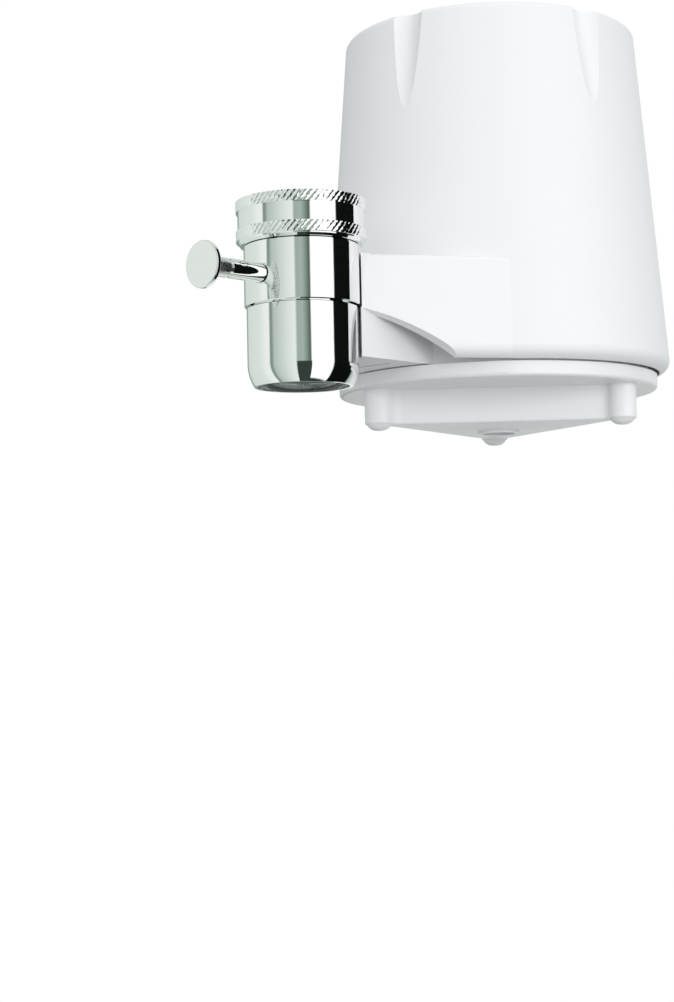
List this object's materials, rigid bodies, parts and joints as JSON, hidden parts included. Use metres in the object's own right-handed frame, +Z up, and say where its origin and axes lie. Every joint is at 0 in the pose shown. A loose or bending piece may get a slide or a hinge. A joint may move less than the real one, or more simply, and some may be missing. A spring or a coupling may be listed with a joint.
{
  "type": "faucet mount water filter",
  "caption": "Tap-mounted water filter: a chrome diverter valve with a pull-out pin and a knurled swivel nut carries a white canister with a screw cap.",
  "frame": {"origin": "centre of the collar nut's mouth, where the thread for the tap's spout begins", "axes": "+Z up along the spout and out of the nut's mouth, +X from the valve to the canister"},
  "size_m": [0.1357, 0.082, 0.0949],
  "materials": {
    "collar_chrome": "bright chrome plate with two knurled bands",
    "washer_rubber": "flat black rubber",
    "strainer_steel": "fine stainless mesh",
    "spring_steel": "bright spring steel",
    "valve_chrome": "mirror chrome plate",
    "bell_chrome": "mirror chrome plate",
    "aerator_plastic": "pale moulded plastic",
    "stem_chrome": "ground and plated pin",
    "knob_chrome": "chrome plate, faced head",
    "seal_rubber": "black seal rubber",
    "spigot_brass": "turned brass",
    "housing_white": "white, fine spark-eroded grain",
    "cap_white": "white, smooth moulded",
    "carbon": "pressed black carbon",
    "felt": "white felt",
    "cartridge_plastic": "blue moulded plastic"
  },
  "bodies": {
    "collar": {"collar_nut": "collar_chrome"},
    "filter": {"inlet_washer": "washer_rubber", "inlet_screen": "strainer_steel", "collar_ring": "spring_steel", "valve_body": "valve_chrome", "outlet_bell": "bell_chrome", "bell_washer": "washer_rubber", "aerator_insert": "aerator_plastic", "aerator_screen": "strainer_steel", "stem_seal": "seal_rubber", "seal_retainer": "spigot_brass", "return_spring": "spring_steel", "filter_spigot": "spigot_brass", "spigot_seals": "seal_rubber", "spigot_clip": "spring_steel", "filter_housing": "housing_white", "pressure_wall": "housing_white", "side_arm": "housing_white"},
    "pin": {"valve_stem": "stem_chrome", "pull_knob": "knob_chrome", "seat_washers": "seal_rubber", "seat_screw": "spring_steel"},
    "cartridge": {"carbon_block": "carbon", "prefilter_wrap": "felt", "cartridge_top_cap": "cartridge_plastic", "cartridge_bottom_cap": "cartridge_plastic", "nipple_seal": "seal_rubber"},
    "cap": {"bottom_cap": "cap_white", "cap_seal": "seal_rubber"}
  },
  "joints": [
    {"name": "collar_swivel", "type": "hinge", "parent": "collar", "child": "filter", "pos_m": [0, 0, -0.0099], "axis": [0, 0, 1], "continuous": true},
    {"name": "pin_slide", "type": "slide", "parent": "filter", "child": "pin", "axis": [1, 0, 0], "range_m": [0, 0.008], "deforming": ["return_spring"]},
    {"name": "cartridge_drop", "type": "slide", "parent": "filter", "child": "cartridge", "axis": [0, 0, -1], "range_m": [0, 0.008]},
    {"name": "cap_turn", "type": "hinge", "parent": "cartridge", "child": "cap", "pos_m": [0.0655, 0, -0.0345], "axis": [0, 0, -1], "range_deg": [0, 720]}
  ],
  "couplings": [
    {"joint": "cap_turn", "follows": "cartridge_drop", "rad_per_m": 1570.8}
  ]
}
